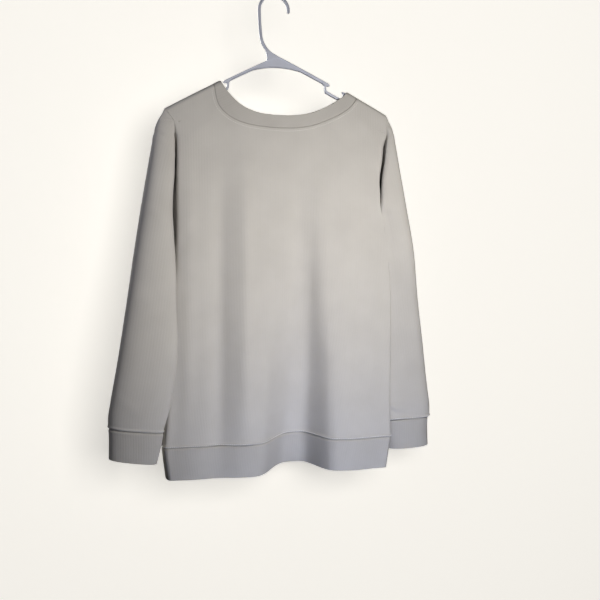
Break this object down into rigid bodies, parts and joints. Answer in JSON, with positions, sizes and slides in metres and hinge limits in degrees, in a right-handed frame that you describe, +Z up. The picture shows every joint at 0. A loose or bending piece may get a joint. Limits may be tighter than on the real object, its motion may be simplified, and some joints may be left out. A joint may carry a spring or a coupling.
{
  "type": "crewneck sweatshirt on a hanger",
  "caption": "Plain long-sleeved crewneck sweatshirt with ribbed neckband, cuffs and hem band, hanging from a slim plastic hanger with its back to the viewer.",
  "frame": {"origin": "inner top of the hanger's hook, where a wardrobe rail carries it", "axes": "+Z up along the hanging garment, +X towards the wearer's right sleeve, +Y the way the wearer faces, so the back panel faces -Y"},
  "size_m": [0.6178, 0.1594, 0.8665],
  "materials": {
    "fleece": "warm light grey sweatshirt fleece, fine jersey face",
    "rib_knit": "the same yarn in doubled rib knit",
    "moulded_plastic": "pale grey moulded polystyrene"
  },
  "bodies": {
    "root": {"back_panel": "fleece", "front_panel": "fleece", "sleeve_left": "fleece", "sleeve_right": "fleece", "cuff_left": "rib_knit", "cuff_right": "rib_knit", "hem_band": "rib_knit", "neckband": "rib_knit", "hanger": "moulded_plastic"}
  },
  "joints": []
}
